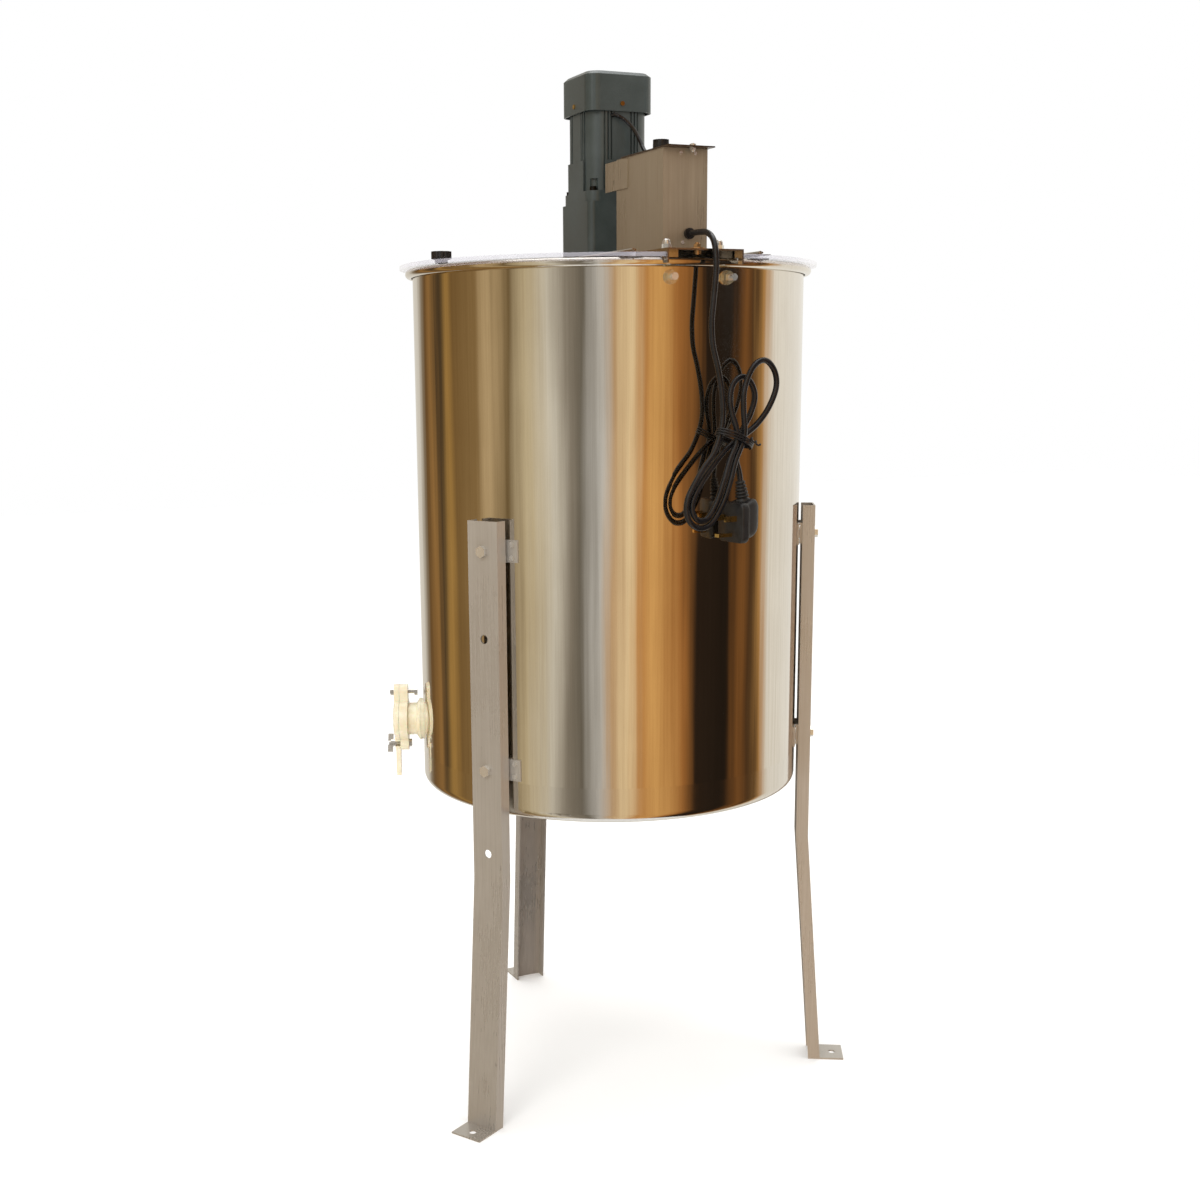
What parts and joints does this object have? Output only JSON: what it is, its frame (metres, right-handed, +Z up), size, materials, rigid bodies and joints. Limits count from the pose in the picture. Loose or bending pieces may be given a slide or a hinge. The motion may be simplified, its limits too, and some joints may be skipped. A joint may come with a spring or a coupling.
{
  "type": "honey extractor",
  "caption": "Upright steel tank on splayed channel legs, with a gear motor on a bridge, hinged clear lid, frame basket, honey gate and mains cord.",
  "frame": {"origin": "on the tank's vertical axis at floor level, the centre of the three foot holes", "axes": "+Z up along the basket shaft; Y along the bridge, with the control box and cord on the -Y side; +X to the right of the bridge"},
  "size_m": [0.5857, 0.6276, 1.302],
  "materials": {
    "tank_steel": "mirror-polished stainless sheet with fine upright grain",
    "plain_steel": "satin stainless",
    "leg_steel": "brushed stainless channel",
    "bright_steel": "bright fasteners",
    "brassy_steel": "yellow zinc plate",
    "black_steel": "black oxide",
    "dark_steel": "satin stainless in shade",
    "box_steel": "brushed stainless sheet",
    "motor_paint": "semi-gloss grey-green enamel",
    "core_steel": "machined",
    "bronze": "copper alloy",
    "brass": "polished contact pins",
    "ivory_plastic": "glossy moulded nylon",
    "seal_rubber": "matt",
    "cord_rubber": "semi-gloss black PVC",
    "black_plastic": "moulded",
    "board_green": "circuit board with parts",
    "clear_acrylic": "clear acrylic with a faint violet edge"
  },
  "bodies": {
    "extractor": {"tank_wall": "tank_steel", "tank_pan": "tank_steel", "pivot_cup": "plain_steel", "pivot_bush": "bronze", "leg_1": "leg_steel", "leg_2": "leg_steel", "leg_3": "leg_steel", "leg_brackets": "leg_steel", "bracket_rivets": "bright_steel", "leg_bolts": "bright_steel", "bridge": "plain_steel", "bridge_brackets": "plain_steel", "wall_bolts": "bright_steel", "wall_nuts": "brassy_steel", "acorn_bolts": "bright_steel", "earth_screw": "bronze", "gate_gasket": "seal_rubber", "gate_body": "ivory_plastic", "gate_ring_nut": "ivory_plastic", "gate_bolts": "bright_steel", "gearbox_housing": "motor_paint", "gearbox_adapter": "motor_paint", "gearbox_bolts": "black_steel", "motor_housing": "motor_paint", "stator": "core_steel", "bearings": "bright_steel", "fan_cover": "motor_paint", "cover_screws": "bronze", "motor_lead": "cord_rubber", "control_box": "box_steel", "box_cover": "dark_steel", "box_screws": "bright_steel", "speed_pot": "core_steel", "circuit_board": "board_green", "cable_gland": "cord_rubber", "power_cord": "cord_rubber", "cord_hank": "cord_rubber", "cord_tie": "black_plastic", "plug_body": "cord_rubber", "plug_pins": "brass", "lid_strips": "clear_acrylic", "hinge_fixed_leaves": "plain_steel"},
    "basket": {"basket_shaft": "plain_steel", "basket_frame": "plain_steel", "basket_mesh": "plain_steel", "shaft_coupling": "plain_steel", "output_shaft": "core_steel"},
    "layshaft": {"layshaft": "core_steel"},
    "rotor": {"rotor": "core_steel", "cooling_fan": "black_plastic"},
    "lid_right": {"lid_right": "clear_acrylic", "hinge_right_leaf": "plain_steel", "lid_knob_right": "black_plastic"},
    "lid_left": {"lid_left": "clear_acrylic", "hinge_left_leaf": "plain_steel", "lid_knob_left": "black_plastic"},
    "gate_plate": {"gate_plate": "ivory_plastic"},
    "wing_nut": {"wing_nut": "bright_steel"},
    "speed_knob": {"speed_knob": "black_plastic"}
  },
  "joints": [
    {"name": "basket_spin", "type": "hinge", "parent": "extractor", "child": "basket", "pos_m": [0, 0, 0.5], "axis": [0, 0, 1], "continuous": true},
    {"name": "layshaft_spin", "type": "hinge", "parent": "extractor", "child": "layshaft", "pos_m": [0.01697, 0.01697, 1.1], "axis": [0, 0, 1], "continuous": true},
    {"name": "rotor_spin", "type": "hinge", "parent": "extractor", "child": "rotor", "pos_m": [0, 0, 1.2], "axis": [0, 0, 1], "continuous": true},
    {"name": "lid_right_hinge", "type": "hinge", "parent": "extractor", "child": "lid_right", "pos_m": [0.082, 0, 1.0733], "axis": [0, -1, 0], "range_deg": [0, 95]},
    {"name": "lid_left_hinge", "type": "hinge", "parent": "extractor", "child": "lid_left", "pos_m": [-0.082, 0, 1.0733], "axis": [0, 1, 0], "range_deg": [0, 95]},
    {"name": "gate_plate_swing", "type": "hinge", "parent": "extractor", "child": "gate_plate", "pos_m": [-0.26053, 0.10792, 0.516], "axis": [0.9239, -0.3827, 0], "range_deg": [0, 100]},
    {"name": "wing_nut_turn", "type": "hinge", "parent": "extractor", "child": "wing_nut", "pos_m": [-0.26053, 0.10792, 0.4445], "axis": [-0.9239, 0.3827, 0], "range_deg": [0, 720]},
    {"name": "speed_knob_turn", "type": "hinge", "parent": "extractor", "child": "speed_knob", "pos_m": [0, -0.151, 1.2], "axis": [0, 0, -1], "range_deg": [0, 270]}
  ],
  "couplings": [
    {"joint": "layshaft_spin", "follows": "basket_spin", "ratio": -2},
    {"joint": "rotor_spin", "follows": "basket_spin", "ratio": 6}
  ]
}
